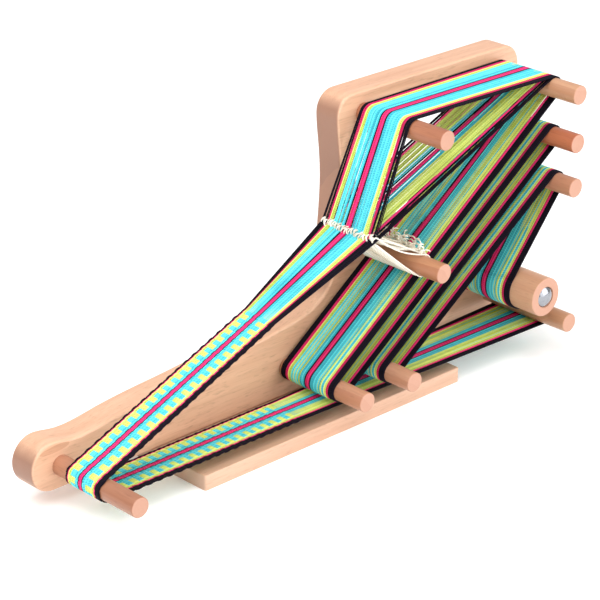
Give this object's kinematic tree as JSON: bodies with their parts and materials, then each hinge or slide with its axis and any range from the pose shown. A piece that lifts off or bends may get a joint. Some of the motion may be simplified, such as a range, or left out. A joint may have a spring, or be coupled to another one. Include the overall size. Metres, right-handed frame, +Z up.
{
  "type": "inkle loom",
  "caption": "Table-top inkle loom: a one-piece side board on a base plank, round pegs, a sliding tension roller, dressed with a striped warp, heddle loops and a part-woven band.",
  "frame": {"origin": "middle of the base plank's underside, on the table", "axes": "+X from the front peg towards the rear pegs, +Y through the side board away from the pegs' free ends, +Z up"},
  "size_m": [0.6174, 0.1654, 0.296],
  "materials": {
    "board_wood": "satin lacquer",
    "base_wood": "satin lacquer",
    "peg_wood": "satin lacquer",
    "steel": "zinc plated",
    "warp_cotton": "mercerised cotton",
    "woven_cotton": "warp-faced cotton weave",
    "heddle_cotton": "matt cotton string"
  },
  "bodies": {
    "frame": {"side_board": "board_wood", "base_board": "base_wood", "base_screws": "steel", "peg_screws": "steel", "front_peg": "peg_wood", "top_front_peg": "peg_wood", "top_rear_peg": "peg_wood", "upper_rear_peg": "peg_wood", "lower_rear_peg": "peg_wood", "heddle_peg": "peg_wood", "bottom_rear_peg": "peg_wood", "bottom_front_peg": "peg_wood", "bottom_middle_peg": "peg_wood", "woven_top": "woven_cotton", "woven_turn": "woven_cotton", "woven_bottom": "woven_cotton", "fell_warp": "warp_cotton", "open_warp_rise": "warp_cotton", "open_warp_turn": "warp_cotton", "open_warp_top": "warp_cotton", "heddled_warp": "warp_cotton", "top_rear_turn": "warp_cotton", "warp_run_a": "warp_cotton", "bottom_front_turn": "warp_cotton", "warp_run_b": "warp_cotton", "upper_rear_turn": "warp_cotton", "warp_run_c": "warp_cotton", "bottom_middle_turn": "warp_cotton", "warp_run_d": "warp_cotton", "lower_rear_turn": "warp_cotton", "warp_roller_in": "warp_cotton", "warp_roller_out": "warp_cotton", "bottom_rear_turn": "warp_cotton", "warp_bottom": "warp_cotton", "heddle_loops_top": "heddle_cotton", "heddle_loops_turn": "heddle_cotton", "heddle_loops_low": "heddle_cotton"},
    "roller": {"tension_roller": "peg_wood", "tension_bolt": "steel", "roller_turn": "warp_cotton"},
    "washer": {"tension_washer": "steel"},
    "nut": {"wing_nut": "steel"}
  },
  "joints": [
    {"name": "tension_slide", "type": "slide", "parent": "frame", "child": "roller", "axis": [1, 0, 0], "range_m": [-0.045, 0.01], "deforming": ["warp_roller_in", "warp_roller_out"]},
    {"name": "washer_travel", "type": "slide", "parent": "roller", "child": "washer", "axis": [0, 1, 0], "range_m": [0, 0.0025]},
    {"name": "nut_turn", "type": "hinge", "parent": "washer", "child": "nut", "pos_m": [0.2455, 0.0575, 0.0766], "axis": [0, 1, 0], "range_deg": [0, 720]}
  ],
  "couplings": [
    {"joint": "nut_turn", "follows": "washer_travel", "rad_per_m": 5026.5}
  ]
}
